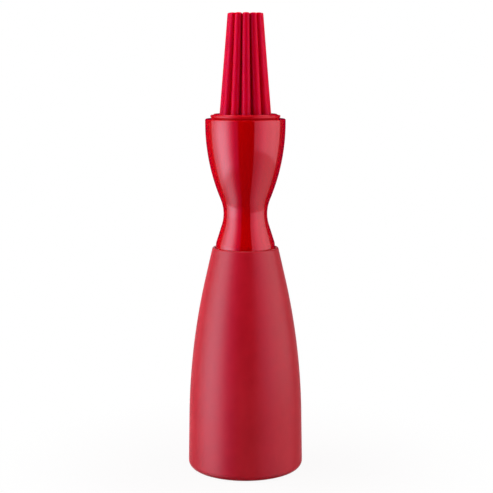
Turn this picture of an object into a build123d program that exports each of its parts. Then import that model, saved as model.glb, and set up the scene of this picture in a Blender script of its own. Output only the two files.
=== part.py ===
"""Squeeze-bottle pastry brush, standing on its base.

A soft silicone bottle is closed by a rigid hourglass neck that screws into a
collar in the bottle's mouth. On top of the neck a soft brush head with thick
round bristles is held down by a retaining ring. Under the head a rigid outlet
plate carries a drip valve, so that sauce or butter comes out among the
bristles when the bottle is squeezed.

Millimetres, +Z up. The origin is on the axis, on the surface it stands on.
"""
import os
from math import radians, tan

from build123d import *

# ---- Bottle: soft silicone, squeezed by hand -------------------------------
bottle_height = 98.7  # top of the lip
bottle_radius = 25.4  # where the sides would meet the ground
side_lean = 0.018  # how far the lower side leans in, per millimetre of height
side_corner_z = 55.4  # height where the lower side and the shoulder would meet
side_bend = 294.0  # radius of the arc that joins them
bottle_wall = 1.8
floor_thickness = 2.2
base_round = 3.0
inner_round = 2.4  # inside, where the side meets the floor
foot_recess_radius = 18.0  # hollow in the underside, so that it stands on a rim
foot_recess_depth = 1.4
lip_wall = 1.2
lip_round = 0.55
shoulder_land = 0.8  # edge of silicone under the collar

# ---- Collar in the mouth of the bottle -------------------------------------
mouth_bore_radius = 13.2
collar_height = 10.4
collar_wall = 1.7
collar_rib_height = 1.2  # how far the holding rib stands out
collar_rib_width = 2.0
collar_rib_lift = 1.4  # from the collar's lower edge
collar_rib_notches = 8
collar_rib_notch_width = 3.0
collar_lead_in = 0.6

# ---- Seal and screwed end of the neck --------------------------------------
lip_stands_over_shoulder = 1.3
seal_thickness = 1.0
seal_gap = 0.4  # from the lip's bore
running_gap = 0.3  # between round faces that turn or slide past each other
thread_space = 1.1  # the threads of neck and collar share this width
spigot_length = 9.4
spigot_wall = 1.8

# ---- Hourglass neck: rigid, glossy -----------------------------------------
neck_height = 57.4  # shoulder to rim
foot_corner_height = 3.1  # above the shoulder, where the foot's sides would meet
foot_bend = 4.6
waist_corner_height = 16.8  # above the shoulder, where the two flares would meet
waist_corner_radius = 8.52
waist_bend = 16.4
cup_corner_drop = 18.3  # below the rim, where cup and flare would meet
cup_bend = 86.0
throat_corner_radius = 6.6  # where the inner flares would meet
throat_bend = 18.0
inner_foot_height = 6.6  # above the shoulder
inner_foot_bend = 20.0
inner_cup_drop = 22.8  # below the rim
inner_cup_bend = 70.0
rim_radius = 17.4
rim_wall = 2.8
rim_round = 0.5
ledge_width = 1.6

# ---- Outlet plate and drip valve under the brush head ----------------------
plate_thickness = 1.8
plate_collar_depth = 1.5
plate_collar_wall = 1.2
valve_hole_radius = 3.2
valve_fit = 0.05
valve_lower_rim = 1.4  # how far the lower rim reaches past the hole
valve_lower_thickness = 1.0
valve_upper_rim = 1.0
valve_upper_thickness = 0.9
valve_bore_radius = 2.1
valve_skin = 0.5
slit_width = 0.2
slit_length = 3.2

# ---- Brush head: soft silicone, one moulding -------------------------------
disc_thickness = 1.8
pocket_gap = 0.4  # around and above the valve
outlet_radius = 1.5
root_margin = 0.35  # of the boss outside the bristles
root_sink = 0.6  # boss top below the top of the ring
root_overlap = 0.4  # bristles start inside the boss
bristle_length = 43.75
outer_count = 12
outer_root_pitch = 9.5  # radius of the ring of bristles where they grow
outer_tip_pitch = 6.25
outer_diameter = 2.9
middle_count = 12  # they stand behind the gaps of the outer ring
middle_root_pitch = 6.6
middle_tip_pitch = 3.75
middle_diameter = 1.75
inner_count = 4
inner_root_pitch = 2.95
inner_tip_pitch = 1.6
inner_diameter = 1.85
inner_shortening = 0.8
tip_chamfer = 0.45
head_turn = 2.0  # degrees; the front bristle stands a little right of centre

# ---- Retaining ring --------------------------------------------------------
skirt_length = 1.4
ring_overhang = 0.5  # past the bore of the neck's rim
ring_undercut = 0.45  # leaves a shadow line above the neck's rim
ring_thickness = 1.55
ring_edge_round = 0.15
bevel_height = 0.5
bevel_width = 0.3
ring_face_width = 2.05  # flat left at the top of the bevel

# ---- Outlines --------------------------------------------------------------
bend_room = 1.02  # a run is longer by this factor than the bends at its ends take

# ---- Worked out from the sizes above ---------------------------------------
shoulder_z = bottle_height - lip_stands_over_shoulder
collar_top = shoulder_z - seal_thickness
collar_bottom = collar_top - collar_height
collar_bore_radius = mouth_bore_radius - collar_wall
lip_radius = mouth_bore_radius + lip_wall
floor_z = foot_recess_depth + floor_thickness
roof_z = collar_bottom - shoulder_land

neck_foot_radius = mouth_bore_radius - running_gap
spigot_radius = collar_bore_radius - thread_space
spigot_bore_radius = spigot_radius - spigot_wall
spigot_end = shoulder_z - spigot_length
rim_z = shoulder_z + neck_height
waist_corner_z = shoulder_z + waist_corner_height
seat_bore_radius = rim_radius - rim_wall
ledge_bore_radius = seat_bore_radius - ledge_width

disc_bottom = rim_z - skirt_length - disc_thickness
disc_top = disc_bottom + disc_thickness
plate_bottom = disc_bottom - plate_thickness
seated_radius = seat_bore_radius - running_gap

boss_radius = outer_root_pitch + outer_diameter / 2 + root_margin
ring_bore_radius = boss_radius + running_gap
ring_radius = seat_bore_radius + ring_overhang
ring_top = rim_z + ring_thickness + bevel_height
boss_top = ring_top - root_sink
brush_top = boss_top + bristle_length

os.makedirs("parts", exist_ok=True)


def side_radius(height):
    """Radius of the bottle's straight lower side at a height."""
    return bottle_radius - side_lean * height


def bent_line(corners, bends):
    """Straight runs joined by arcs; a bend is eased where its runs are too short for it."""
    points = [Vector(*corner) for corner in corners]
    runs = [end - start for start, end in zip(points, points[1:])]
    halves = [radians(run.get_angle(after)) / 2 for run, after in zip(runs, runs[1:])]
    reaches = [bend * tan(half) for bend, half in zip(bends, halves)]
    taken = [first + second for first, second in zip([0] + reaches, reaches + [0])]
    room = [run.length / (total * bend_room) for run, total in zip(runs, taken)]
    eased = [
        min(bend, bend * before, bend * after)
        for bend, before, after in zip(bends, room, room[1:])
    ]
    return FilletPolyline(*corners, radius=eased)


# ---- Mouth collar ----------------------------------------------------------
# Its notched rib keys into the silicone and stops it from turning.
rib_low = collar_bottom + collar_rib_lift
rib_high = rib_low + collar_rib_width
rib_radius = mouth_bore_radius + collar_rib_height
with BuildPart() as mouth_collar:
    with BuildSketch(Plane.XZ):
        with BuildLine():
            Polyline(
                (collar_bore_radius, collar_bottom),
                (mouth_bore_radius, collar_bottom),
                (mouth_bore_radius, rib_low),
                (rib_radius, rib_low),
                (rib_radius, rib_high),
                (mouth_bore_radius, rib_high + collar_rib_height),
                (mouth_bore_radius, collar_top),
                (collar_bore_radius + collar_lead_in, collar_top),
                (collar_bore_radius, collar_top - collar_lead_in),
                close=True,
            )
        make_face()
    revolve(axis=Axis.Z)
    with BuildSketch(Plane.XY.offset(rib_low)):
        with PolarLocations(mouth_bore_radius + collar_rib_height, collar_rib_notches):
            Rectangle(2 * collar_rib_height, collar_rib_notch_width)
    extrude(amount=collar_rib_width + collar_rib_height, mode=Mode.SUBTRACT)
    # The notches stop at the collar's wall, which is whole inside them.
    with BuildSketch(Plane.XY.offset(rib_low)):
        Circle(mouth_bore_radius)
        Circle(mouth_bore_radius - collar_wall / 2, mode=Mode.SUBTRACT)
    extrude(amount=collar_rib_width + collar_rib_height)
mouth_collar.part.label = "mouth_collar"
export_step(mouth_collar.part, "parts/mouth_collar.step")

# ---- Bottle ----------------------------------------------------------------
with BuildPart() as bottle:
    with BuildSketch(Plane.XZ):
        with BuildLine():
            outside = bent_line(
                [
                    (foot_recess_radius, 0),
                    (bottle_radius, 0),
                    (side_radius(side_corner_z), side_corner_z),
                    (lip_radius, bottle_height),
                ],
                [base_round, side_bend],
            )
            Polyline(
                outside @ 1,
                (0, bottle_height),
                (0, foot_recess_depth),
                (foot_recess_radius - foot_recess_depth, foot_recess_depth),
                outside @ 0,
            )
        make_face()
    revolve(axis=Axis.Z)

    # Hollow: the side moved in by the wall, under a sloping roof that leaves
    # the silicone thick around the collar.
    with BuildSketch(Plane.XZ):
        with BuildLine():
            inside = bent_line(
                [
                    (0, floor_z),
                    (side_radius(floor_z) - bottle_wall, floor_z),
                    (side_radius(side_corner_z) - bottle_wall, side_corner_z),
                    (lip_radius - bottle_wall, bottle_height),
                ],
                [inner_round, side_bend - bottle_wall],
            )
            Polyline(inside @ 1, (0, bottle_height), inside @ 0)
        make_face()
        with BuildLine():
            Polyline(
                (0, 0),
                (bottle_radius, 0),
                (bottle_radius, roof_z - (bottle_radius - collar_bore_radius)),
                (collar_bore_radius, roof_z),
                (0, roof_z),
                close=True,
            )
        make_face(mode=Mode.INTERSECT)
    revolve(axis=Axis.Z, mode=Mode.SUBTRACT)

    # Bore of the mouth, and the seat that the collar fills.
    with BuildSketch(Plane.XY.offset(collar_bottom)):
        Circle(mouth_bore_radius)
    extrude(amount=bottle_height - collar_bottom, mode=Mode.SUBTRACT)
    with BuildSketch(Plane.XY.offset(roof_z)):
        Circle(collar_bore_radius)
    extrude(amount=shoulder_land, mode=Mode.SUBTRACT)
    lip_edges = bottle.edges().group_by(Axis.Z)[-1]
    fillet(lip_edges, lip_round)
    add(mouth_collar.part, mode=Mode.SUBTRACT)
bottle.part.label = "bottle"
export_step(bottle.part, "parts/bottle.step")

# ---- Seal ring under the neck's shoulder -----------------------------------
with BuildPart() as seal_ring:
    with BuildSketch(Plane.XY.offset(collar_top)):
        Circle(mouth_bore_radius - seal_gap)
        Circle(spigot_radius + running_gap, mode=Mode.SUBTRACT)
    extrude(amount=seal_thickness)
seal_ring.part.label = "seal_ring"
export_step(seal_ring.part, "parts/seal_ring.step")

# ---- Hourglass neck --------------------------------------------------------
with BuildPart() as neck:
    with BuildSketch(Plane.XZ):
        with BuildLine():
            outer_wall = bent_line(
                [
                    (seat_bore_radius, rim_z),
                    (rim_radius, rim_z),
                    (rim_radius, rim_z - cup_corner_drop),
                    (waist_corner_radius, waist_corner_z),
                    (neck_foot_radius, shoulder_z + foot_corner_height),
                    (neck_foot_radius, shoulder_z),
                ],
                [rim_round, cup_bend, waist_bend, foot_bend],
            )
            inner_wall = bent_line(
                [
                    (ledge_bore_radius, plate_bottom),
                    (ledge_bore_radius, rim_z - inner_cup_drop),
                    (throat_corner_radius, waist_corner_z),
                    (spigot_bore_radius, shoulder_z + inner_foot_height),
                    (spigot_bore_radius, spigot_end),
                ],
                [inner_cup_bend, throat_bend, inner_foot_bend],
            )
            Polyline(outer_wall @ 0, (seat_bore_radius, plate_bottom), inner_wall @ 0)
            Polyline(
                outer_wall @ 1,
                (spigot_radius, shoulder_z),
                (spigot_radius, spigot_end),
                inner_wall @ 1,
            )
        make_face()
    revolve(axis=Axis.Z)
neck.part.label = "neck"
export_step(neck.part, "parts/neck.step")

# ---- Outlet plate ----------------------------------------------------------
collar_ring_radius = ledge_bore_radius - running_gap
with BuildPart() as outlet_plate:
    with BuildSketch(Plane.XY.offset(plate_bottom)):
        Circle(seated_radius)
        Circle(valve_hole_radius, mode=Mode.SUBTRACT)
    extrude(amount=plate_thickness)
    with BuildSketch(Plane.XY.offset(plate_bottom)):
        Circle(collar_ring_radius)
        Circle(collar_ring_radius - plate_collar_wall, mode=Mode.SUBTRACT)
    extrude(amount=-plate_collar_depth)
outlet_plate.part.label = "outlet_plate"
export_step(outlet_plate.part, "parts/outlet_plate.step")

# ---- Drip valve: a slit silicone cap buttoned through the plate ------------
valve_low = plate_bottom - valve_lower_thickness
valve_high = disc_bottom + valve_upper_thickness
with BuildPart() as drip_valve:
    with BuildSketch(Plane.XY.offset(valve_low)):
        Circle(valve_hole_radius + valve_lower_rim)
    extrude(amount=valve_lower_thickness)
    with BuildSketch(Plane.XY.offset(plate_bottom)):
        Circle(valve_hole_radius - valve_fit)
    extrude(amount=plate_thickness)
    with BuildSketch(Plane.XY.offset(disc_bottom)):
        Circle(valve_hole_radius + valve_upper_rim)
    extrude(amount=valve_upper_thickness)
    with BuildSketch(Plane.XY.offset(valve_low)):
        Circle(valve_bore_radius)
    extrude(amount=valve_high - valve_skin - valve_low, mode=Mode.SUBTRACT)
    with BuildSketch(Plane.XY.offset(valve_high - valve_skin)):
        Rectangle(slit_length, slit_width)
        Rectangle(slit_width, slit_length)
    extrude(amount=valve_skin, mode=Mode.SUBTRACT)
drip_valve.part.label = "drip_valve"
export_step(drip_valve.part, "parts/drip_valve.step")


# ---- Brush head ------------------------------------------------------------
def bristle(root_pitch, tip_pitch, diameter, tip_z):
    """One bristle: round, and leaning in towards the axis."""
    root = Vector(root_pitch, 0, boss_top - root_overlap)
    tip = Vector(tip_pitch, 0, tip_z)
    with BuildPart() as strand:
        with Locations(Plane(origin=root, x_dir=(0, 1, 0), z_dir=tip - root)):
            Cylinder(
                diameter / 2,
                (tip - root).length,
                align=(Align.CENTER, Align.CENTER, Align.MIN),
            )
        chamfer(strand.faces().sort_by(Axis.Z)[-1].edges(), tip_chamfer)
    return strand.part


inner_top = brush_top - inner_shortening
outer_bristle = bristle(outer_root_pitch, outer_tip_pitch, outer_diameter, brush_top)
middle_bristle = bristle(middle_root_pitch, middle_tip_pitch, middle_diameter, inner_top)
inner_bristle = bristle(inner_root_pitch, inner_tip_pitch, inner_diameter, inner_top)
front_angle = head_turn - 90
gap_angle = front_angle + 180 / outer_count

with BuildPart() as brush_head:
    with BuildSketch(Plane.XY.offset(disc_bottom)):
        Circle(seated_radius)
    extrude(amount=disc_thickness)
    with BuildSketch(Plane.XY.offset(disc_top)):
        Circle(boss_radius)
    extrude(amount=boss_top - disc_top)
    with BuildSketch(Plane.XY.offset(disc_bottom)):
        Circle(valve_hole_radius + valve_upper_rim + pocket_gap)
    extrude(amount=valve_upper_thickness + pocket_gap, mode=Mode.SUBTRACT)
    with BuildSketch(Plane.XY.offset(disc_bottom)):
        Circle(outlet_radius)
    extrude(amount=boss_top - disc_bottom, mode=Mode.SUBTRACT)
    with PolarLocations(0, outer_count, start_angle=front_angle):
        add(outer_bristle)
    with PolarLocations(0, middle_count, start_angle=gap_angle):
        add(middle_bristle)
    with PolarLocations(0, inner_count, start_angle=front_angle):
        add(inner_bristle)
brush_head.part.label = "brush_head"
export_step(brush_head.part, "parts/brush_head.step")

# ---- Retaining ring --------------------------------------------------------
flange_top = rim_z + ring_thickness
bevel_radius = ring_bore_radius + ring_face_width
with BuildPart() as retaining_ring:
    with BuildSketch(Plane.XZ):
        with BuildLine():
            Polyline(
                (ring_bore_radius, disc_top),
                (seated_radius, disc_top),
                (seated_radius, rim_z),
                (ring_radius - ring_undercut, rim_z),
                (ring_radius, rim_z + ring_undercut),
                (ring_radius, flange_top),
                (bevel_radius + bevel_width, flange_top),
                (bevel_radius, ring_top),
                (ring_bore_radius, ring_top),
                close=True,
            )
        make_face()
    revolve(axis=Axis.Z)
    ring_edge = (
        retaining_ring.edges()
        .filter_by(GeomType.CIRCLE)
        .filter_by_position(Axis.Z, flange_top - ring_edge_round / 2, flange_top + ring_edge_round / 2)
        .sort_by(SortBy.RADIUS)[-1]
    )
    fillet(ring_edge, ring_edge_round)
retaining_ring.part.label = "retaining_ring"
export_step(retaining_ring.part, "parts/retaining_ring.step")
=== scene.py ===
"""Squeeze-bottle pastry brush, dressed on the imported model.

The bottle, the neck, its ring and the brush head are made again with their fine
forms, the threads are added, and every piece gets its finish.
"""
import math

import bmesh
import bpy
from bpy.props import FloatProperty, FloatVectorProperty, IntProperty, PointerProperty
from bpy.types import Operator, Panel, PropertyGroup
from mathutils import Matrix, Vector


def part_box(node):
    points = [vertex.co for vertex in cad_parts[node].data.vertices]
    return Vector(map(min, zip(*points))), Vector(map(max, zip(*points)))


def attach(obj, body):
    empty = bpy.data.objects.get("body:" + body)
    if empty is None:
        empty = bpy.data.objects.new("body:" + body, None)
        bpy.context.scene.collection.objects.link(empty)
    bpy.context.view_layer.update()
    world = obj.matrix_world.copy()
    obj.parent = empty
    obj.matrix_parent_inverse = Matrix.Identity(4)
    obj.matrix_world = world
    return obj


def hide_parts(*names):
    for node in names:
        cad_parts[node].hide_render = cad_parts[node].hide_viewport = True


bl_info = {
    "name": "Squeeze Pastry Brush",
    "version": (1, 0, 0),
    "blender": (4, 5, 0),
    "location": "3D View > Sidebar > Pastry Brush",
    "description": "Makes the bottle, neck, bristles and threads of a pastry brush",
    "category": "Object",
}

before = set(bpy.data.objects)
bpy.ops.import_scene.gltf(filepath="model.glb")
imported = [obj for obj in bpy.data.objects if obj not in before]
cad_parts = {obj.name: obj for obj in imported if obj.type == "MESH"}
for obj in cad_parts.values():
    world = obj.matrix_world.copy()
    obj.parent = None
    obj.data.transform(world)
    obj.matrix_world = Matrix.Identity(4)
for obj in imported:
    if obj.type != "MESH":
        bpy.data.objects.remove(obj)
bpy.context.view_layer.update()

MM = 0.001

# ---- Fineness of the lathed solids ------------------------------------------
ARC_ANGLE = math.radians(9.0)  # most that one step of a rounded corner turns
ARC_RUN = 1.2 * MM  # and the most that it runs
SHARP_ANGLE = math.radians(28.0)  # edges that turn by more are shaded sharp
AXIS_RADIUS = 0.001 * MM  # points nearer than this lie on the axis
BOTTLE_SEGMENTS = 160
NECK_SEGMENTS = 192
RING_SEGMENTS = 160
HEAD_SEGMENTS = 96

# ---- Heights read from the frame, in metres ---------------------------------
LIP_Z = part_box("bottle")[1].z
COLLAR_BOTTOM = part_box("mouth_collar")[0].z
SHOULDER_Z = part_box("seal_ring")[1].z
SPIGOT_END, RIM_Z = (corner.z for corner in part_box("neck"))
DISC_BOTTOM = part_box("brush_head")[0].z
DISC_TOP, RING_TOP = (corner.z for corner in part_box("retaining_ring"))
PLATE_BOTTOM = DISC_BOTTOM - 1.8 * MM

# ---- Bottle -----------------------------------------------------------------
BASE_RADIUS = 25.4 * MM
SIDE_LEAN = 0.018
SIDE_CORNER_Z = 55.4 * MM
SIDE_BEND = 294.0 * MM
BOTTLE_WALL = 1.8 * MM
BASE_ROUND = 3.0 * MM
INNER_ROUND = 2.4 * MM
RECESS_RADIUS = 18.0 * MM
RECESS_DEPTH = 1.4 * MM
RECESS_ROUND = 0.8 * MM
RECESS_EDGE = 0.5 * MM
FLOOR_Z = RECESS_DEPTH + 2.2 * MM
MOUTH_BORE = 13.2 * MM
LIP_RADIUS = 14.4 * MM
LIP_ROUND = 0.55 * MM
COLLAR_BORE = 11.5 * MM
LAND_EDGE = 0.1 * MM  # of the silicone under the collar
ROOF_Z = COLLAR_BOTTOM - 0.8 * MM
RIB_RADIUS = 14.4 * MM
RIB_LOW = COLLAR_BOTTOM + 1.4 * MM
RIB_HIGH = RIB_LOW + 2.0 * MM

# ---- Neck and ring: a corner is where two straight runs would meet ----------
SMALL_EDGE = 0.12 * MM
NECK_FOOT = 12.9 * MM
FOOT_CORNER_Z = SHOULDER_Z + 3.1 * MM
FOOT_BEND = 4.6 * MM
WAIST_CORNER = 8.52 * MM
WAIST_CORNER_Z = SHOULDER_Z + 16.8 * MM
WAIST_BEND = 16.4 * MM
CUP_CORNER_Z = RIM_Z - 18.3 * MM
CUP_BEND = 86.0 * MM
RIM_RADIUS = 17.4 * MM
RIM_ROUND = 0.5 * MM
SEAT_BORE = 14.6 * MM
LEDGE_BORE = 13.0 * MM
INNER_CUP_CORNER_Z = RIM_Z - 22.8 * MM
INNER_CUP_BEND = 70.0 * MM
THROAT_CORNER = 6.6 * MM
THROAT_BEND = 18.0 * MM
INNER_FOOT_CORNER_Z = SHOULDER_Z + 6.6 * MM
INNER_FOOT_BEND = 20.0 * MM
SPIGOT_RADIUS = 10.4 * MM
SPIGOT_BORE = 8.6 * MM
SPIGOT_OUTER_EDGE = 0.4 * MM
SPIGOT_INNER_EDGE = 0.3 * MM
RING_RADIUS = 15.1 * MM
RING_EDGE = 0.15 * MM
RING_UNDERCUT = 0.45 * MM
UNDERCUT_HEIGHT = 0.85 * MM
SEATED_RADIUS = 14.3 * MM
RING_BORE = 11.6 * MM
FLANGE_TOP = RIM_Z + 1.55 * MM
BEVEL_RADIUS = RING_BORE + 2.05 * MM
BEVEL_WIDTH = 0.3 * MM
BEVEL_EDGE = 0.1 * MM

# ---- Brush head -------------------------------------------------------------
DISC_EDGE = 0.2 * MM
BOSS_RADIUS = 11.3 * MM
BOSS_TOP = RING_TOP - 0.6 * MM
BOSS_EDGE = 0.3 * MM
OUTLET_RADIUS = 1.5 * MM
POCKET_RADIUS = 4.6 * MM
POCKET_DEPTH = 1.3 * MM
ROOT_Z = BOSS_TOP - 0.4 * MM  # bristles start inside the boss
TIP_Z = BOSS_TOP + 43.75 * MM
TIP_DROP = 0.1 * MM  # how far the tallest tips stay below those of the solids
INNER_TIP_DROP = 0.9 * MM  # the same for the middle and the inner ring
TIP_DOME = 0.5 * MM
DOME_POWER = 2.4  # 2 is a round dome, and more makes it squarer
DOME_END = 0.0004  # keeps a little thickness at the very tip
BRISTLE_STEPS = 36
BRISTLE_SIDES = 20
ROOT_PAINTED_SHADE = 6.0 * MM  # height over which the painted shade at each bristle's root fades out
HEAD_TURN = math.radians(2.0 - 90.0)  # the front bristle stands a little right of centre

# ---- Threads ----------------------------------------------------------------
THREAD_LEAD = 6.0 * MM
THREAD_STARTS = 2
THREAD_ROOT = 1.3 * MM
THREAD_CREST = 0.7 * MM
THREAD_FADE = 0.09  # share of a ridge's length over which its ends fade out
THREAD_SINK = 0.2  # share of its height that lies inside the wall
THREAD_STEPS = 120
THREAD_WELD = 0.002 * MM  # points that lie closer than this become one
MALE_START = SPIGOT_END + 1.5 * MM
MALE_TURNS = 1.0
FEMALE_START = COLLAR_BOTTOM + 2.0 * MM  # half a pitch below the male ridges
FEMALE_TURNS = 1.15

# ---- Camera, measured on the photograph -------------------------------------
CAMERA_PLACE = (0.48 * MM, -560.0 * MM, 180.8 * MM)
CAMERA_PITCH = math.radians(90.0 - 8.31)
CAMERA_LENS = 94.3

# ---- Studio, in metres ------------------------------------------------------
FLOOR_REACH = 3.0
PANEL_RADIUS = 0.70
PANEL_LOW = -0.90
PANEL_HIGH = 1.15
PANEL_STEPS = 40
TOP_RADIUS = 0.35
TOP_HEIGHT = 1.0
TOP_STEPS = 48
DRAPE_RADIUS = 2.0
WARM_WHITE = (1.0, 0.90, 0.85)


def colour_setting(name, description, default):
    """A colour that a user would change."""
    return FloatVectorProperty(
        name=name,
        description=description,
        subtype="COLOR",
        size=3,
        min=0.0,
        max=1.0,
        default=default,
    )


def count_setting(name, description, default, low, high):
    """A number of like things that a user would change."""
    return IntProperty(name=name, description=description, default=default, min=low, max=high)


def light_setting(name, description, default):
    """A brightness that a user would change."""
    return FloatProperty(name=name, description=description, default=default, min=0.0)


class BrushSettings(PropertyGroup):
    """Sizes and colours that a user would change."""

    bottle_colour: colour_setting(
        "Bottle colour", "Base colour of the soft silicone bottle", (0.355, 0.0, 0.012)
    )
    neck_colour: colour_setting(
        "Neck colour", "Base colour of the glossy neck", (0.395, 0.0, 0.0)
    )
    ring_colour: colour_setting(
        "Ring colour",
        "Base colour of the satin ring that holds the brush head",
        (0.43, 0.004, 0.010),
    )
    bristle_colour: colour_setting(
        "Bristle colour", "Base colour of the silicone brush head", (0.51, 0.0, 0.021)
    )
    collar_colour: colour_setting(
        "Inner plastic colour",
        "Base colour of the collar in the mouth and of the outlet plate",
        (0.30, 0.008, 0.02),
    )
    seal_colour: colour_setting(
        "Seal colour", "Base colour of the seal ring and the drip valve", (0.72, 0.70, 0.66)
    )
    outer_count: count_setting(
        "Outer bristles",
        "Number of bristles in the outer ring",
        default=12,
        low=3,
        high=40,
    )
    middle_count: count_setting(
        "Middle bristles",
        "Number of bristles in the middle ring, behind the outer ring's gaps",
        default=12,
        low=3,
        high=40,
    )
    inner_count: count_setting(
        "Inner bristles",
        "Number of bristles round the outlet",
        default=4,
        low=0,
        high=12,
    )
    thread_height: FloatProperty(
        name="Thread height",
        description="How far each ridge of the thread stands out",
        subtype="DISTANCE",
        unit="LENGTH",
        default=0.75 * MM,
        min=0.0,
        max=1.0 * MM,
    )
    left_light: light_setting(
        "Left soft box", "Brightness of the large soft box on the left", 2.4
    )
    right_light: light_setting(
        "Right panel", "Brightness of the flat panel on the right", 0.95
    )
    left_fill: light_setting(
        "Left fill", "Brightness of the left diffuser, which no gloss mirrors", 9.2
    )
    right_fill: light_setting(
        "Right fill", "Brightness of the right diffuser, which no gloss mirrors", 5.4
    )
    front_fill: light_setting(
        "Front fill",
        "Brightness of the diffuser behind the camera, which no gloss mirrors",
        0.20,
    )
    top_fill: light_setting(
        "Top fill", "Brightness of the round diffuser overhead, which no gloss mirrors", 3.0
    )
    room_light: light_setting(
        "Room light", "Brightness of the even light from all round", 0.2
    )


# ---- Outlines and lathed solids ---------------------------------------------
def bent(*corners):
    """Points along a closed outline; each corner is (radius, height, rounding)."""
    points = []
    neighbours = zip(corners[-1:] + corners[:-1], corners, corners[1:] + corners[:1])
    for before, here, after in neighbours:
        corner = Vector(here[:2])
        rounding = here[2]
        if not rounding:
            points.append(corner)
            continue
        back = (Vector(before[:2]) - corner).normalized()
        on = (Vector(after[:2]) - corner).normalized()
        half = back.angle(on) / 2
        centre = corner + (back + on).normalized() * rounding / math.sin(half)
        start = corner + back * rounding / math.tan(half) - centre
        turn = math.pi - 2 * half
        side = math.copysign(1.0, back.x * on.y - back.y * on.x)
        steps = max(3, round(turn / ARC_ANGLE), round(turn * rounding / ARC_RUN))
        for step in range(steps + 1):
            points.append(centre + Matrix.Rotation(-side * turn * step / steps, 2) @ start)
    return points


def lathe(name, outline, segments, material):
    """A closed solid of revolution from a closed outline of (radius, height) points."""
    shape = bmesh.new()
    rings = []
    for radius, height in outline:
        if radius < AXIS_RADIUS:
            rings.append([shape.verts.new((0.0, 0.0, height))] * segments)
            continue
        angles = (math.tau * index / segments for index in range(segments))
        rings.append([
            shape.verts.new((radius * math.cos(angle), radius * math.sin(angle), height))
            for angle in angles
        ])
    for ring, following in zip(rings, rings[1:] + rings[:1]):
        for index in range(segments):
            after = (index + 1) % segments
            corners = [ring[index], ring[after], following[after], following[index]]
            corners = list(dict.fromkeys(corners))
            if len(corners) > 2:
                shape.faces.new(corners)
    bmesh.ops.recalc_face_normals(shape, faces=shape.faces)
    for face in shape.faces:
        face.smooth = True
    mesh = bpy.data.meshes.new(name)
    shape.to_mesh(mesh)
    shape.free()
    mesh.set_sharp_from_angle(angle=SHARP_ANGLE)
    mesh.materials.append(material)
    piece = bpy.data.objects.new(name, mesh)
    bpy.context.collection.objects.link(piece)
    return piece


def finished(piece, body, node=None):
    """Joins a piece to the body it moves with, and hides the node that it stands for."""
    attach(piece, body)
    if node:
        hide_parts(node)


# ---- Node trees -------------------------------------------------------------
class Net:
    """A node tree that is written with one call for any node: its type, settings and inputs."""

    def __init__(self, tree):
        self.tree = tree

    def add(self, kind, settings=None, inputs=None):
        node = self.tree.nodes.new(kind)
        for name, value in (settings or {}).items():
            setattr(node, name, value)
        for name, value in (inputs or {}).items():
            self.feed(node.inputs[name], value)
        return node

    def feed(self, socket, value):
        if isinstance(value, Wire):
            self.tree.links.new(value.socket, socket)
        else:
            socket.default_value = value

    def wire(self, kind, settings=None, inputs=None, output=0):
        return Wire(self, self.add(kind, settings, inputs).outputs[output])

    def mixed(self, share, first, second):
        """A colour from the first to the second, as share goes from 0 to 1."""
        mix = self.add("ShaderNodeMix", {"data_type": "RGBA"})
        for name, value in (("Factor", share), ("A", first), ("B", second)):
            self.feed(next(s for s in mix.inputs if s.name == name and s.enabled), value)
        return Wire(self, next(s for s in mix.outputs if s.enabled))


class Wire:
    """An output socket that takes part in plain arithmetic."""

    def __init__(self, net, socket):
        self.net = net
        self.socket = socket

    def math(self, operation, *values):
        inputs = dict(enumerate(values))
        return self.net.wire("ShaderNodeMath", {"operation": operation}, inputs)

    def __add__(self, other):
        return self.math("ADD", self, other)

    def __radd__(self, other):
        return self.math("ADD", other, self)

    def __sub__(self, other):
        return self.math("SUBTRACT", self, other)

    def __rsub__(self, other):
        return self.math("SUBTRACT", other, self)

    def __mul__(self, other):
        return self.math("MULTIPLY", self, other)

    def __rmul__(self, other):
        return self.math("MULTIPLY", other, self)

    def __truediv__(self, other):
        return self.math("DIVIDE", self, other)

    def __rtruediv__(self, other):
        return self.math("DIVIDE", other, self)

    def __pow__(self, other):
        return self.math("POWER", self, other)

    def __neg__(self):
        return self.math("MULTIPLY", self, -1.0)

    def at_least(self, low):
        return self.math("MAXIMUM", self, low)

    def clipped(self):
        return self.at_least(0.0).math("MINIMUM", self.at_least(0.0), 1.0)

    def eased(self, low, high, start=0.0, end=1.0):
        """Start below low, end above high, and a smooth change between them."""
        return self.net.wire("ShaderNodeMapRange", {"interpolation_type": "SMOOTHSTEP"}, {
            "Value": self,
            "From Min": low,
            "From Max": high,
            "To Min": start,
            "To Max": end,
        })


def new_material(name, **constants):
    """A material with a Principled shader, whose constant sockets are set here."""
    material = bpy.data.materials.new(name)
    material.use_nodes = True
    net = Net(material.node_tree)
    shader = material.node_tree.nodes["Principled BSDF"]
    for socket, value in constants.items():
        shader.inputs[socket.replace("_", " ")].default_value = value
    place = net.wire("ShaderNodeTexCoord", output="Object")
    return material, net, shader, place


def noise(net, place, scale, detail=2.0, stretch=(1.0, 1.0, 1.0)):
    """Soft noise from 0 to 1 with cells of about 1/scale metres, stretched by the factors."""
    mapped = net.wire("ShaderNodeMapping", {}, {"Vector": place, "Scale": stretch})
    inputs = {"Vector": mapped, "Scale": scale, "Detail": detail, "Roughness": 0.55}
    return net.wire("ShaderNodeTexNoise", {}, inputs)


def tinted(net, shader, colour, share, darker, lighter):
    """Base colour from darker to lighter times the colour, as share goes from 0 to 1."""
    deep = (*[part * darker for part in colour], 1.0)
    pale = (*[min(1.0, part * lighter) for part in colour], 1.0)
    net.feed(shader.inputs["Base Color"], net.mixed(share, deep, pale))


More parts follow.
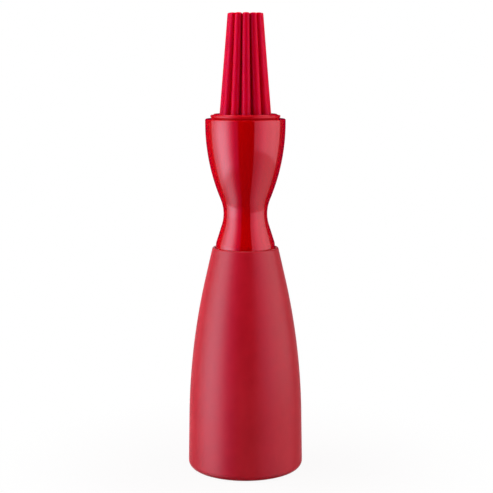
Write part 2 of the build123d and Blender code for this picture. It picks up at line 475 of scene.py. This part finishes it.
def bumped(net, shader, height, distance, strength):
    """A bump as deep as the distance where the height goes from 0 to 1, times the strength."""
    inputs = {"Height": height, "Distance": distance, "Strength": strength}
    net.feed(shader.inputs["Normal"], net.wire("ShaderNodeBump", {}, inputs))


def bottle_material(colour):
    """Matte silicone: cloudy handling marks, a faint bloom and a very fine grain."""
    material, net, shader, place = new_material(
        "bottle_silicone",
        Sheen_Weight=0.30,
        Sheen_Roughness=0.36,
        Specular_IOR_Level=0.66,
    )
    clouds = noise(net, place, scale=70.0, stretch=(1.0, 1.0, 0.6))
    patches = noise(net, place, scale=240.0, detail=1.0)
    grain = noise(net, place, scale=2600.0)
    mottle = (clouds * 0.65 + patches * 0.35).eased(0.32, 0.68)
    tinted(net, shader, colour, mottle, darker=0.93, lighter=1.05)
    net.feed(shader.inputs["Roughness"], 0.285 + 0.05 * mottle + 0.02 * grain)
    bumped(net, shader, grain, distance=0.03 * MM, strength=0.5)
    return material


def neck_material(name, colour, coat, coat_roughness):
    """Moulded plastic: a coat of clear gloss over faint flow and fine rub marks."""
    material, net, shader, place = new_material(
        name,
        IOR=1.7,
        Specular_Tint=(0.85, 0.05, 0.17, 1.0),
        Coat_Weight=coat,
        Coat_Roughness=coat_roughness,
        Coat_IOR=1.75,
    )
    flow = noise(net, place, scale=60.0, detail=1.0, stretch=(1.0, 1.0, 0.25))
    rubs = noise(net, place, scale=420.0, detail=3.0, stretch=(1.0, 1.0, 0.3))
    tinted(net, shader, colour, flow.eased(0.3, 0.7), darker=0.97, lighter=1.03)
    net.feed(shader.inputs["Roughness"], 0.22 + 0.045 * rubs.eased(0.45, 0.75))
    bumped(net, shader, flow, distance=0.02 * MM, strength=0.35)
    return material


def bristle_material(colour):
    """Satin silicone with soft flow along each bristle, and painted shade that darkens it
    towards each bristle's root.
    """
    material, net, shader, place = new_material(
        "brush_silicone",
        Specular_IOR_Level=0.4,
        Specular_Tint=(1.0, 0.22, 0.75, 1.0),
        Subsurface_Weight=1.0,
        Subsurface_Radius=(1.0, 0.1, 0.15),
        Subsurface_Scale=1.5 * MM,
    )
    height = net.wire("ShaderNodeSeparateXYZ", {}, {"Vector": place}, "Z")
    streaks = noise(net, place, scale=700.0, stretch=(1.0, 1.0, 0.12))
    grain = noise(net, place, scale=2400.0)
    # painted shade: the colour is darker towards each bristle's root, where the bristles shade
    # one another
    root_painted_shade = height.eased(BOSS_TOP, BOSS_TOP + ROOT_PAINTED_SHADE)
    # the flow streaks are the silicone's own tone; the root part of this mix is painted shade
    shade = streaks.eased(0.25, 0.75) * 0.5 + root_painted_shade * 0.5
    tinted(net, shader, colour, shade, darker=0.86, lighter=1.06)
    net.feed(shader.inputs["Roughness"], 0.28 + 0.04 * streaks + 0.03 * grain)
    bumped(net, shader, streaks * 0.6 + grain * 0.4, distance=0.04 * MM, strength=0.4)
    return material


def collar_material(colour):
    """Plain moulded plastic with a fine spark-eroded grain."""
    material, net, shader, place = new_material("collar_plastic", IOR=1.5)
    shade = noise(net, place, scale=300.0)
    grain = noise(net, place, scale=3200.0, detail=1.0)
    tinted(net, shader, colour, shade.eased(0.3, 0.7), darker=0.93, lighter=1.05)
    net.feed(shader.inputs["Roughness"], 0.42 + 0.10 * shade)
    bumped(net, shader, grain, distance=0.04 * MM, strength=0.4)
    return material


def seal_material(colour):
    """Milky silicone of the seal and the valve."""
    material, net, shader, place = new_material("seal_silicone", Specular_IOR_Level=0.5)
    cloud = noise(net, place, scale=500.0)
    grain = noise(net, place, scale=2600.0, detail=1.0)
    tinted(net, shader, colour, cloud.eased(0.3, 0.7), darker=0.94, lighter=1.04)
    net.feed(shader.inputs["Roughness"], 0.45 + 0.12 * cloud)
    bumped(net, shader, grain, distance=0.03 * MM, strength=0.4)
    return material


# ---- Geometry Nodes trees ---------------------------------------------------
def new_tree(name, inputs):
    """An empty Geometry Nodes group, with a geometry in and out and the inputs named."""
    tree = bpy.data.node_groups.new(name, "GeometryNodeTree")
    tree.interface.new_socket("Geometry", in_out="INPUT", socket_type="NodeSocketGeometry")
    for label, kind in inputs.items():
        tree.interface.new_socket(label, in_out="INPUT", socket_type=f"NodeSocket{kind}")
    tree.interface.new_socket("Geometry", in_out="OUTPUT", socket_type="NodeSocketGeometry")
    net = Net(tree)
    source = net.add("NodeGroupInput")
    wires = {socket.name: Wire(net, socket) for socket in source.outputs if socket.name}
    return tree, net, wires


def close_tree(net, geometry, material):
    """Every tree ends in plain geometry with its material set."""
    real = net.wire("GeometryNodeRealizeInstances", {}, {"Geometry": geometry})
    painted = net.wire("GeometryNodeSetMaterial", {}, {"Geometry": real, "Material": material})
    net.feed(net.add("NodeGroupOutput").inputs["Geometry"], painted)


def bristle_tree():
    """Adds one ring of tapered, leaning bristles with domed tips to the geometry."""
    tree, net, given = new_tree("Bristle ring", {
        "Count": "Int",
        "Turn": "Float",
        "Root pitch": "Float",
        "Tip pitch": "Float",
        "Root diameter": "Float",
        "Tip diameter": "Float",
        "Root height": "Float",
        "Tip height": "Float",
        "Dome": "Float",
        "Sway": "Float",
        "Seed": "Int",
        "Material": "Material",
    })
    line = net.wire("GeometryNodeCurvePrimitiveLine", {}, {"End": (0.0, 0.0, 1.0)})
    strand = net.wire("GeometryNodeResampleCurve", {"mode": "COUNT"}, {
        "Curve": line,
        "Count": BRISTLE_STEPS,
    })
    points = net.wire("GeometryNodePoints", {}, {"Count": given["Count"]})
    spread = net.wire("GeometryNodeInstanceOnPoints", {}, {
        "Points": points,
        "Instance": strand,
    })
    strands = net.wire("GeometryNodeRealizeInstances", {}, {"Geometry": spread})

    along = net.wire("GeometryNodeSplineParameter", output="Factor")
    place = net.wire("GeometryNodeInputIndex")
    number = net.wire(
        "GeometryNodeFieldOnDomain", {"domain": "CURVE", "data_type": "FLOAT"}, {"Value": place}
    )

    def chance(step):
        """A different number from -1 to 1 for each bristle."""
        seed = given["Seed"] + step
        inputs = {2: -1.0, 3: 1.0, "ID": number, "Seed": seed}
        return net.wire("FunctionNodeRandomValue", {"data_type": "FLOAT"}, inputs, output=1)

    reached = 1.0 - (1.0 - along) ** 2.0  # points lie closer together near the tip
    tip_z = given["Tip height"] + chance(1) * given["Sway"] * 0.4
    length = tip_z - given["Root height"]
    z = given["Root height"] + length * reached
    bend = reached * reached * given["Sway"]
    pitch = given["Root pitch"] + (given["Tip pitch"] - given["Root pitch"]) * reached
    out = pitch + bend * chance(2) * 0.5
    aside = bend * chance(3)
    angle = given["Turn"] + number * math.tau / given["Count"]
    cosine = angle.math("COSINE", angle)
    sine = angle.math("SINE", angle)
    spot = net.wire("ShaderNodeCombineXYZ", {}, {
        "X": out * cosine - aside * sine,
        "Y": out * sine + aside * cosine,
        "Z": z,
    })
    taper = given["Tip diameter"] - given["Root diameter"]
    thickness = given["Root diameter"] + taper * reached
    into_dome = (1.0 - (1.0 - reached) * length / given["Dome"]).clipped()
    dome = (1.0 - into_dome ** DOME_POWER).at_least(DOME_END) ** (1 / DOME_POWER)
    # The radius comes before the places, which change how far along each point lies.
    sized = net.wire("GeometryNodeSetCurveRadius", {}, {
        "Curve": strands,
        "Radius": thickness * dome / 2,
    })
    placed = net.wire("GeometryNodeSetPosition", {}, {"Geometry": sized, "Position": spot})
    radius = net.wire("GeometryNodeInputRadius")
    circle = net.wire("GeometryNodeCurvePrimitiveCircle", {}, {
        "Resolution": BRISTLE_SIDES,
        "Radius": 1.0,
    })
    tube = net.wire("GeometryNodeCurveToMesh", {}, {
        "Curve": placed,
        "Profile Curve": circle,
        "Scale": radius,
        "Fill Caps": True,
    })
    smooth = net.wire("GeometryNodeSetShadeSmooth", {}, {"Geometry": tube})
    joined = net.add("GeometryNodeJoinGeometry")
    net.feed(joined.inputs["Geometry"], smooth)
    net.feed(joined.inputs["Geometry"], given["Geometry"])
    close_tree(net, Wire(net, joined.outputs["Geometry"]), given["Material"])
    return tree


def thread_tree():
    """Helical ridges with a flat crest, which fade out at both ends."""
    tree, net, given = new_tree("Screw thread", {
        "Radius": "Float",
        "Height": "Float",
        "Root width": "Float",
        "Crest width": "Float",
        "Start height": "Float",
        "Turns": "Float",
        "Lead": "Float",
        "Starts": "Int",
        "Steps": "Int",
        "Material": "Material",
    })
    sides = 5  # four corners of the ridge's section and the first again
    sheet = net.wire("GeometryNodeMeshGrid", {}, {
        "Vertices X": given["Steps"],
        "Vertices Y": sides,
    })
    place = net.wire("GeometryNodeInputIndex")
    step = (place / float(sides)).math("FLOOR", place / float(sides))
    corner = place - step * float(sides)
    share = step / (given["Steps"] - 1.0)
    fade = share.eased(0.0, THREAD_FADE) * (1.0 - share).eased(0.0, THREAD_FADE)
    crest = 1.0 - (corner - 1.5).math("ABSOLUTE", corner - 1.5).eased(0.6, 1.0)
    upper = 1.0 - (corner - 2.5).math("ABSOLUTE", corner - 2.5).eased(0.6, 1.0)
    width = given["Root width"] + (given["Crest width"] - given["Root width"]) * crest
    sunk = given["Height"] * -THREAD_SINK  # the ridge starts inside the wall that carries it
    out = given["Radius"] + sunk + (crest * (given["Height"] - sunk)) * fade
    angle = share * given["Turns"] * math.tau
    height = given["Start height"] + given["Lead"] * given["Turns"] * share
    spot = net.wire("ShaderNodeCombineXYZ", {}, {
        "X": out * angle.math("COSINE", angle),
        "Y": out * angle.math("SINE", angle),
        "Z": height + (upper - 0.5) * width * fade,
    })
    ridge = net.wire("GeometryNodeSetPosition", {}, {"Geometry": sheet, "Position": spot})
    points = net.wire("GeometryNodePoints", {}, {"Count": given["Starts"]})
    turn = net.wire("ShaderNodeCombineXYZ", {}, {"Z": place * math.tau / given["Starts"]})
    turned = net.wire("FunctionNodeEulerToRotation", {}, {"Euler": turn})
    ridges = net.wire("GeometryNodeInstanceOnPoints", {}, {
        "Points": points,
        "Instance": ridge,
        "Rotation": turned,
    })
    real = net.wire("GeometryNodeRealizeInstances", {}, {"Geometry": ridges})
    closed = net.wire("GeometryNodeMergeByDistance", {}, {
        "Geometry": real,
        "Distance": THREAD_WELD,
    })
    close_tree(net, closed, given["Material"])
    return tree


def grow(piece, tree, **values):
    """Sets a Geometry Nodes modifier by its inputs' identifiers and makes the result plain."""
    modifier = piece.modifiers.new(tree.name, "NODES")
    modifier.node_group = tree
    for item in tree.interface.items_tree:
        label = item.name.lower().replace(" ", "_")
        if item.in_out == "INPUT" and label in values:
            modifier[item.identifier] = values[label]
    evaluated = piece.evaluated_get(bpy.context.evaluated_depsgraph_get())
    mesh = bpy.data.meshes.new_from_object(evaluated)
    mesh.name = piece.name
    piece.modifiers.remove(modifier)
    piece.data = mesh


def outward(piece):
    """Recalculates the normals of a mesh of closed shells, so that all of them point out."""
    shape = bmesh.new()
    shape.from_mesh(piece.data)
    bmesh.ops.recalc_face_normals(shape, faces=shape.faces)
    shape.to_mesh(piece.data)
    shape.free()


# ---- Operators: one for each piece or group of like pieces ------------------
class PASTRY_OT_bottle(Operator):
    """Make the soft silicone bottle, hollow and with a groove for the collar"""

    bl_idname = "pastry.bottle"
    bl_label = "Make the bottle"

    def execute(self, context):
        settings = context.scene.pastry_brush
        corner = BASE_RADIUS - SIDE_LEAN * SIDE_CORNER_Z
        inner_base = BASE_RADIUS - SIDE_LEAN * FLOOR_Z - BOTTLE_WALL
        hollow = bent(
            (0.0, LIP_Z, 0.0),
            (LIP_RADIUS - BOTTLE_WALL, LIP_Z, 0.0),
            (corner - BOTTLE_WALL, SIDE_CORNER_Z, SIDE_BEND - BOTTLE_WALL),
            (inner_base, FLOOR_Z, INNER_ROUND),
            (0.0, FLOOR_Z, 0.0),
        )
        # The hollow's roof slopes at 45 degrees from the collar to the wall.
        above_roof = [point.x + point.y - COLLAR_BORE - ROOF_Z for point in hollow]
        first = next(index for index, above in enumerate(above_roof) if above < 0)
        share = above_roof[first - 1] / (above_roof[first - 1] - above_roof[first])
        roof_edge = hollow[first - 1].lerp(hollow[first], share)
        outline = bent(
            (0.0, RECESS_DEPTH, 0.0),
            (RECESS_RADIUS - RECESS_DEPTH, RECESS_DEPTH, RECESS_ROUND),
            (RECESS_RADIUS, 0.0, RECESS_EDGE),
            (BASE_RADIUS, 0.0, BASE_ROUND),
            (corner, SIDE_CORNER_Z, SIDE_BEND),
            (LIP_RADIUS, LIP_Z, LIP_ROUND),
            (MOUTH_BORE, LIP_Z, LIP_ROUND),
            (MOUTH_BORE, RIB_HIGH + RIB_RADIUS - MOUTH_BORE, 0.0),
            (RIB_RADIUS, RIB_HIGH, 0.0),
            (RIB_RADIUS, RIB_LOW, 0.0),
            (MOUTH_BORE, RIB_LOW, 0.0),
            (MOUTH_BORE, COLLAR_BOTTOM, 0.0),
            (COLLAR_BORE, COLLAR_BOTTOM, LAND_EDGE),
            (COLLAR_BORE, ROOF_Z, LAND_EDGE),
            (*roof_edge, 0.0),
            *[(*point, 0.0) for point in hollow[first:]],
        )
        silicone = bottle_material(settings.bottle_colour)
        bottle = lathe("soft_bottle", outline, BOTTLE_SEGMENTS, silicone)
        finished(bottle, "bottle", "bottle")
        return {"FINISHED"}


class PASTRY_OT_neck(Operator):
    """Make the glossy hourglass neck and the ring that holds the brush head"""

    bl_idname = "pastry.neck"
    bl_label = "Make the neck and its ring"

    def execute(self, context):
        settings = context.scene.pastry_brush
        gloss = neck_material(
            "neck_plastic", settings.neck_colour, coat=1.0, coat_roughness=0.03
        )
        satin = neck_material(
            "ring_plastic", settings.ring_colour, coat=0.35, coat_roughness=0.12
        )
        outline = bent(
            (SEAT_BORE, RIM_Z, SMALL_EDGE),
            (RIM_RADIUS, RIM_Z, RIM_ROUND),
            (RIM_RADIUS, CUP_CORNER_Z, CUP_BEND),
            (WAIST_CORNER, WAIST_CORNER_Z, WAIST_BEND),
            (NECK_FOOT, FOOT_CORNER_Z, FOOT_BEND),
            (NECK_FOOT, SHOULDER_Z, SMALL_EDGE),
            (SPIGOT_RADIUS, SHOULDER_Z, 0.0),
            (SPIGOT_RADIUS, SPIGOT_END, SPIGOT_OUTER_EDGE),
            (SPIGOT_BORE, SPIGOT_END, SPIGOT_INNER_EDGE),
            (SPIGOT_BORE, INNER_FOOT_CORNER_Z, INNER_FOOT_BEND),
            (THROAT_CORNER, WAIST_CORNER_Z, THROAT_BEND),
            (LEDGE_BORE, INNER_CUP_CORNER_Z, INNER_CUP_BEND),
            (LEDGE_BORE, PLATE_BOTTOM, SMALL_EDGE),
            (SEAT_BORE, PLATE_BOTTOM, 0.0),
        )
        neck = lathe("glossy_neck", outline, NECK_SEGMENTS, gloss)
        finished(neck, "neck", "neck")

        outline = bent(
            (RING_BORE, DISC_TOP, 0.0),
            (SEATED_RADIUS, DISC_TOP, SMALL_EDGE),
            (SEATED_RADIUS, RIM_Z, 0.0),
            (RING_RADIUS - RING_UNDERCUT, RIM_Z, 0.0),
            (RING_RADIUS, RIM_Z + UNDERCUT_HEIGHT, SMALL_EDGE),
            (RING_RADIUS, FLANGE_TOP, RING_EDGE),
            (BEVEL_RADIUS + BEVEL_WIDTH, FLANGE_TOP, BEVEL_EDGE),
            (BEVEL_RADIUS, RING_TOP, SMALL_EDGE),
            (RING_BORE, RING_TOP, SMALL_EDGE),
        )
        ring = lathe("lock_ring", outline, RING_SEGMENTS, satin)
        finished(ring, "ring", "retaining_ring")
        return {"FINISHED"}


class PASTRY_OT_brush(Operator):
    """Make the brush head: a disc and boss with three rings of soft bristles"""

    bl_idname = "pastry.brush"
    bl_label = "Make the brush head"

    def execute(self, context):
        settings = context.scene.pastry_brush
        silicone = bristle_material(settings.bristle_colour)
        outline = bent(
            (OUTLET_RADIUS, DISC_BOTTOM + POCKET_DEPTH, 0.0),
            (POCKET_RADIUS, DISC_BOTTOM + POCKET_DEPTH, 0.0),
            (POCKET_RADIUS, DISC_BOTTOM, DISC_EDGE),
            (SEATED_RADIUS, DISC_BOTTOM, DISC_EDGE),
            (SEATED_RADIUS, DISC_TOP, DISC_EDGE),
            (BOSS_RADIUS, DISC_TOP, 0.0),
            (BOSS_RADIUS, BOSS_TOP, BOSS_EDGE),
            (OUTLET_RADIUS, BOSS_TOP, BOSS_EDGE),
        )
        brush = lathe("brush", outline, HEAD_SEGMENTS, silicone)
        tree = bristle_tree()
        half_gap = 0.5 * math.tau / settings.outer_count
        outer = {
            "count": settings.outer_count,
            "turn": HEAD_TURN,
            "root_pitch": 9.3 * MM,
            "tip_pitch": 6.05 * MM,
            "root_diameter": 3.85 * MM,
            "tip_diameter": 3.1 * MM,
            "tip_height": TIP_Z - TIP_DROP,
            "sway": 0.12 * MM,
            "seed": 11,
        }
        middle = {
            "count": settings.middle_count,
            "turn": HEAD_TURN + half_gap,
            "root_pitch": 7.35 * MM,
            "tip_pitch": 4.35 * MM,
            "root_diameter": 2.6 * MM,
            "tip_diameter": 1.8 * MM,
            "tip_height": TIP_Z - INNER_TIP_DROP,
            "sway": 0.12 * MM,
            "seed": 23,
        }
        inner = {
            "count": settings.inner_count,
            "turn": HEAD_TURN,
            "root_pitch": 2.95 * MM,
            "tip_pitch": 1.6 * MM,
            "root_diameter": 2.0 * MM,
            "tip_diameter": 1.7 * MM,
            "tip_height": TIP_Z - INNER_TIP_DROP,
            "sway": 0.20 * MM,
            "seed": 37,
        }
        for sizes in (outer, middle, inner):
            grow(brush, tree, root_height=ROOT_Z, dome=TIP_DOME, material=silicone, **sizes)
        outward(brush)
        finished(brush, "head", "brush_head")
        return {"FINISHED"}


class PASTRY_OT_threads(Operator):
    """Make the two-start screw thread on the neck's spigot and in the collar"""

    bl_idname = "pastry.threads"
    bl_label = "Make the threads"

    def execute(self, context):
        settings = context.scene.pastry_brush
        tree = thread_tree()
        height = settings.thread_height
        male = {
            "radius": SPIGOT_RADIUS,
            "height": height,
            "start_height": MALE_START,
            "turns": MALE_TURNS,
        }
        female = {
            "radius": COLLAR_BORE,
            "height": -height,
            "start_height": FEMALE_START,
            "turns": FEMALE_TURNS,
        }
        ridges = (
            ("neck_thread", "neck", "neck_plastic", male),
            ("collar_thread", "bottle", "collar_plastic", female),
        )
        for name, body, slot, sizes in ridges:
            piece = bpy.data.objects.new(name, bpy.data.meshes.new(name))
            context.collection.objects.link(piece)
            grow(
                piece,
                tree,
                root_width=THREAD_ROOT,
                crest_width=THREAD_CREST,
                lead=THREAD_LEAD,
                starts=THREAD_STARTS,
                steps=THREAD_STEPS,
                material=bpy.data.materials[slot],
                **sizes,
            )
            outward(piece)
            finished(piece, body)
        return {"FINISHED"}


class PASTRY_OT_inner_parts(Operator):
    """Give the collar, outlet plate, seal and valve their finishes"""

    bl_idname = "pastry.inner_parts"
    bl_label = "Finish the inner parts"

    def execute(self, context):
        settings = context.scene.pastry_brush
        finishes = (
            (collar_material(settings.collar_colour), ("mouth_collar", "outlet_plate")),
            (seal_material(settings.seal_colour), ("seal_ring", "drip_valve")),
        )
        for material, nodes in finishes:
            for node in nodes:
                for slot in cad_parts[node].material_slots:
                    slot.material = material
        return {"FINISHED"}


class PASTRY_OT_studio(Operator):
    """Set up the floor, the soft boxes, the world and the camera"""

    bl_idname = "pastry.studio"
    bl_label = "Set up the studio"

    def execute(self, context):
        settings = context.scene.pastry_brush
        self.make_floor()
        self.make_panel(
            "left_soft_box",
            side=-1,
            brightness=settings.left_light,
            spreads=(
                (18, 26, 0.0, 1.0),
                (26, 60, 0.35, 1.0),
                (74, 106, 1.0, 0.29),
                (106, 117, 1.0, 0.0),
            ),
            rises=((-0.30, -0.18, 0.47, 1.0), (0.05, 0.15, 1.0, 0.84)),
            tint=((30, 68), (1.0, 0.06, 0.32), (1.0, 0.90, 1.10)),
        )
        self.make_panel(
            "right_panel",
            side=1,
            brightness=settings.right_light,
            spreads=(
                (24, 28, 0.0, 1.0),
                (28, 66, 0.4, 1.0),
                (84, 112, 1.0, 0.6),
                (113, 118, 1.0, 0.0),
            ),
            rises=((-0.10, -0.06, 0.52, 1.0),),
            tint=((30, 80), (3.4, 0.80, 1.30), (2.0, 0.95, 1.12)),
        )
        left_spreads = ((52, 84, 0.0, 1.0), (95, 142, 1.0, 0.0))
        right_spreads = ((62, 95, 0.0, 1.0), (100, 150, 1.0, 0.0))
        front_spreads = ((-45, -25, 0.0, 1.0), (25, 45, 1.0, 0.0))
        fills = (
            ("left_diffuser", -1, settings.left_fill, left_spreads),
            ("right_diffuser", 1, settings.right_fill, right_spreads),
            ("front_diffuser", 1, settings.front_fill, front_spreads),
        )
        for name, side, brightness, spreads in fills:
            plain = ((0, 1), WARM_WHITE, WARM_WHITE)
            rises = ((-0.02, 0.05, 0.0, 1.0),)
            diffuser = self.make_panel(name, side, brightness, spreads, rises, plain)
            diffuser.visible_glossy = False
        self.make_top(settings.top_fill)
        self.make_drape()
        self.make_world(context, settings.room_light)

        lens = bpy.data.cameras.new("camera")
        lens.lens = CAMERA_LENS
        lens.sensor_width = 36.0
        lens.clip_start = 0.01
        camera = bpy.data.objects.new("camera", lens)
        camera.location = CAMERA_PLACE
        camera.rotation_euler = (CAMERA_PITCH, 0.0, 0.0)
        context.collection.objects.link(camera)
        context.scene.camera = camera
        context.scene.view_settings.view_transform = "Standard"
        return {"FINISHED"}

    @staticmethod
    def new_sheet(name, points, faces, material):
        mesh = bpy.data.meshes.new(name)
        mesh.from_pydata(points, [], faces)
        mesh.materials.append(material)
        sheet = bpy.data.objects.new(name, mesh)
        bpy.context.collection.objects.link(sheet)
        return sheet

    @staticmethod
    def blank(name):
        """A material with nothing in it but its output."""
        material = bpy.data.materials.new(name)
        material.use_nodes = True
        material.node_tree.nodes.clear()
        return material, Net(material.node_tree)

    def make_floor(self):
        """A pale table that turns into the white background away from the object."""
        material, net = self.blank("pale_table")
        place = net.wire("ShaderNodeTexCoord", output="Object")
        far = net.wire("ShaderNodeVectorMath", {"operation": "LENGTH"}, {0: place}, "Value")
        path = net.add("ShaderNodeLightPath")
        seen = Wire(net, path.outputs["Is Camera Ray"])
        mirrored = Wire(net, path.outputs["Is Glossy Ray"])
        through = Wire(net, path.outputs["Is Transmission Ray"])
        blank = far.eased(0.03, 0.13, 0.93, 1.0) * (seen + mirrored + through).clipped()
        table = net.wire("ShaderNodeBsdfDiffuse", {}, {"Color": (0.45, 0.45, 0.45, 1.0)})
        white = net.wire("ShaderNodeEmission", {}, {"Strength": 1.0})
        mix = net.wire("ShaderNodeMixShader", {}, {"Fac": blank, 1: table, 2: white})
        net.feed(net.add("ShaderNodeOutputMaterial").inputs["Surface"], mix)
        signs = ((-1, -1), (1, -1), (1, 1), (-1, 1))
        corners = [(x * FLOOR_REACH, y * FLOOR_REACH, 0.0) for x, y in signs]
        floor = self.new_sheet("floor", corners, [(0, 1, 2, 3)], material)
        floor.visible_glossy = False  # the photograph's neck mirrors no table

    def make_panel(self, name, side, brightness, spreads, rises, tint):
        """A curved sheet of light round the object.

        Each spread is an angle from the camera's side to another, with the share of light at
        both; each rise is a height to another, with the shares there; and the tint is two
        angles, with the colours at them.
        """
        material, net = self.blank(name)
        place = net.wire("ShaderNodeTexCoord", output="Object")
        parts = net.add("ShaderNodeSeparateXYZ", {}, {"Vector": place})
        x, y, z = (Wire(net, parts.outputs[axis]) for axis in "XYZ")
        angle = x.math("ARCTAN2", x * float(side), -y) * (180.0 / math.pi)
        share = 1.0
        for spread in spreads:
            share = share * angle.eased(*spread)
        for rise in rises:
            share = share * z.eased(*rise)
        turned, near, far = tint
        colour = net.mixed(angle.eased(*turned), (*near, 1.0), (*far, 1.0))
        strength = share * brightness
        glow = net.wire("ShaderNodeEmission", {}, {"Color": colour, "Strength": strength})
        net.feed(net.add("ShaderNodeOutputMaterial").inputs["Surface"], glow)
        first_angle, last_angle = spreads[0][0], spreads[-1][1]
        points, faces = [], []
        for step in range(PANEL_STEPS + 1):
            turn = math.radians(first_angle + (last_angle - first_angle) * step / PANEL_STEPS)
            spot = (side * PANEL_RADIUS * math.sin(turn), -PANEL_RADIUS * math.cos(turn))
            points += [(*spot, PANEL_LOW), (*spot, PANEL_HIGH)]
        for step in range(PANEL_STEPS):
            first = 2 * step
            faces.append((first, first + 1, first + 3, first + 2))
        panel = self.new_sheet(name, points, faces, material)
        panel.visible_camera = False
        panel.visible_shadow = False
        return panel

    def make_top(self, brightness):
        """A round diffuser overhead, which lights the lip, the ring and the bristle tips."""
        material, net = self.blank("top_diffuser")
        white = (*WARM_WHITE, 1.0)
        glow = net.wire("ShaderNodeEmission", {}, {"Color": white, "Strength": brightness})
        net.feed(net.add("ShaderNodeOutputMaterial").inputs["Surface"], glow)
        angles = [math.tau * step / TOP_STEPS for step in range(TOP_STEPS)]
        points = [
            (TOP_RADIUS * math.cos(angle), TOP_RADIUS * math.sin(angle), TOP_HEIGHT)
            for angle in angles
        ]
        lamp = self.new_sheet("top_diffuser", points, [tuple(range(TOP_STEPS))], material)
        lamp.visible_camera = False
        lamp.visible_glossy = False
        lamp.visible_shadow = False

    def make_drape(self):
        """A dark red drape all round, because the photographed gloss mirrors no white."""
        material, net = self.blank("dark_drape")
        place = net.wire("ShaderNodeTexCoord", output="Object")
        behind = net.wire("ShaderNodeSeparateXYZ", {}, {"Vector": place}, "Y").eased(0.0, 1.6)
        colour = net.mixed(behind, (0.30, 0.0, 0.0, 1.0), (0.14, 0.0, 0.028, 1.0))
        glow = net.wire("ShaderNodeEmission", {}, {"Color": colour})
        net.feed(net.add("ShaderNodeOutputMaterial").inputs["Surface"], glow)
        mesh = bpy.data.meshes.new("drape")
        shape = bmesh.new()
        bmesh.ops.create_icosphere(shape, subdivisions=3, radius=DRAPE_RADIUS)
        shape.to_mesh(mesh)
        shape.free()
        mesh.materials.append(material)
        drape = bpy.data.objects.new("drape", mesh)
        bpy.context.collection.objects.link(drape)
        drape.visible_camera = False
        drape.visible_diffuse = False
        drape.visible_shadow = False
        drape.visible_transmission = False
        drape.visible_volume_scatter = False

    @staticmethod
    def make_world(context, brightness):
        """White to the camera and in mirrors, and an even light on everything."""
        world = bpy.data.worlds.new("room")
        world.use_nodes = True
        world.node_tree.nodes.clear()
        net = Net(world.node_tree)
        path = net.add("ShaderNodeLightPath")
        seen = Wire(net, path.outputs["Is Camera Ray"])
        mirrored = Wire(net, path.outputs["Is Glossy Ray"])
        through = Wire(net, path.outputs["Is Transmission Ray"])
        blank = (seen + mirrored + through).clipped()
        strength = blank + (1.0 - blank) * brightness
        white = (1.0, 1.0, 1.0, 1.0)
        sky = net.wire("ShaderNodeBackground", {}, {"Color": white, "Strength": strength})
        net.feed(net.add("ShaderNodeOutputWorld").inputs["Surface"], sky)
        world.cycles.sampling_method = "NONE"  # so that gloss meets the drape, never the room
        context.scene.world = world


class PASTRY_PT_brush(Panel):
    """Settings and steps of the pastry brush"""

    bl_idname = "PASTRY_PT_brush"
    bl_label = "Pastry Brush"
    bl_space_type = "VIEW_3D"
    bl_region_type = "UI"
    bl_category = "Pastry Brush"

    def draw(self, context):
        settings = context.scene.pastry_brush
        for name in BrushSettings.__annotations__:
            self.layout.prop(settings, name)
        for step in STEPS:
            self.layout.operator(step.bl_idname)


STEPS = (
    PASTRY_OT_bottle,
    PASTRY_OT_neck,
    PASTRY_OT_brush,
    PASTRY_OT_inner_parts,
    PASTRY_OT_threads,
    PASTRY_OT_studio,
)
CLASSES = (BrushSettings, *STEPS, PASTRY_PT_brush)


def register():
    for made in CLASSES:
        bpy.utils.register_class(made)
    bpy.types.Scene.pastry_brush = PointerProperty(type=BrushSettings)


def unregister():
    del bpy.types.Scene.pastry_brush
    for made in reversed(CLASSES):
        bpy.utils.unregister_class(made)


def main():
    register()
    bpy.ops.pastry.bottle()
    bpy.ops.pastry.neck()
    bpy.ops.pastry.brush()
    bpy.ops.pastry.inner_parts()
    bpy.ops.pastry.threads()
    bpy.ops.pastry.studio()


if __name__ == "__main__":
    main()
